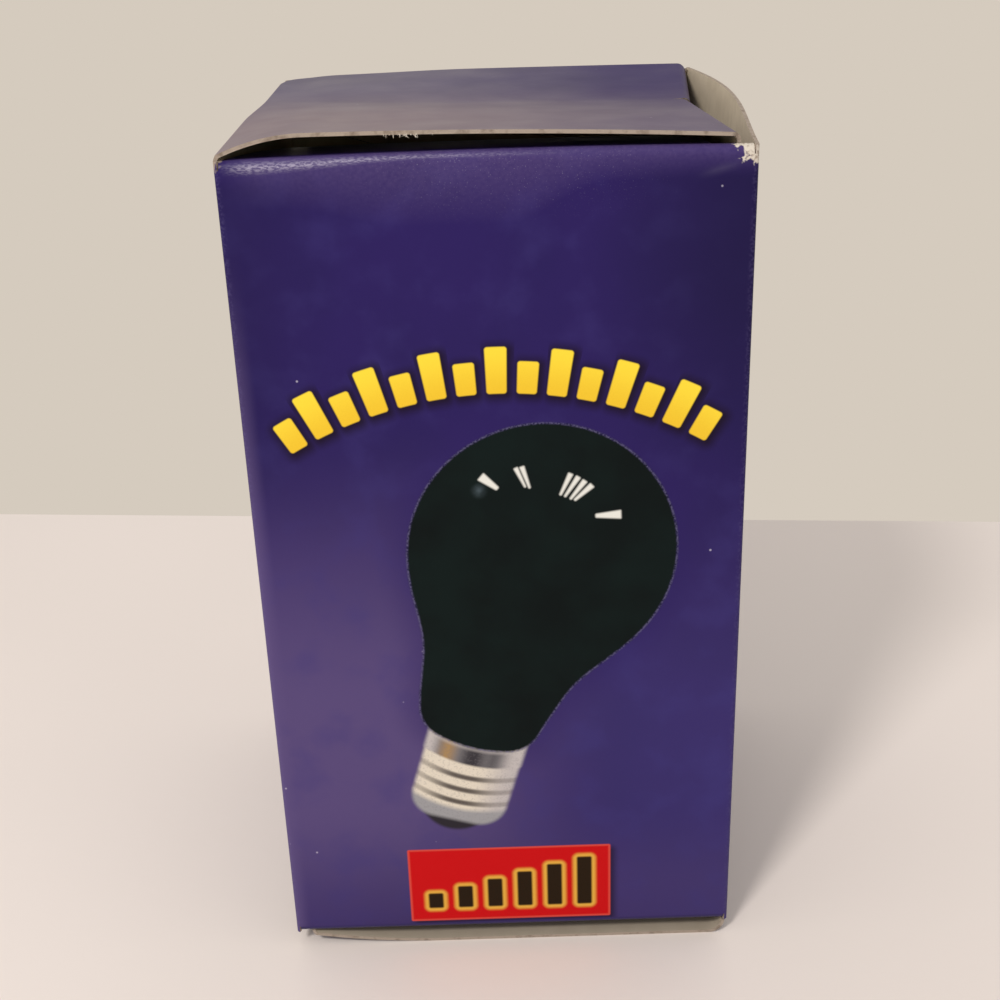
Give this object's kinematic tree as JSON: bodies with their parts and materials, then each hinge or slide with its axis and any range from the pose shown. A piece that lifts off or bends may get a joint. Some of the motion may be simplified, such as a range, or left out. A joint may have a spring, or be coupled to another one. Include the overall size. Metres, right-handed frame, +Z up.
{
  "type": "light bulb carton",
  "caption": "Square folding carton of printed card for a light bulb: a sleeve with dust flaps and a tuck-in lid at each end, the lids swinging open on their folds.",
  "frame": {"origin": "on the floor under the middle of the four walls", "axes": "+Z up the carton, -Y out of the printed front wall, +X to the right of that wall"},
  "size_m": [0.0642, 0.0616, 0.1148],
  "materials": {
    "wall_card": "thin card, semi-gloss violet print outside, bare grey inside",
    "lid_card": "thin card, semi-gloss violet print outside, bare grey inside"
  },
  "bodies": {
    "carton": {"carton_body": "wall_card"},
    "top_lid": {"top_lid": "lid_card"},
    "bottom_lid": {"bottom_lid": "lid_card"}
  },
  "joints": [
    {"name": "top_lid_hinge", "type": "hinge", "parent": "carton", "child": "top_lid", "pos_m": [-0.03075, 0, 0.11213], "axis": [0, -1, 0], "range_deg": [0, 180]},
    {"name": "bottom_lid_hinge", "type": "hinge", "parent": "carton", "child": "bottom_lid", "pos_m": [0.03075, 0, 0.00237], "axis": [0, -1, 0], "range_deg": [0, 180]}
  ]
}
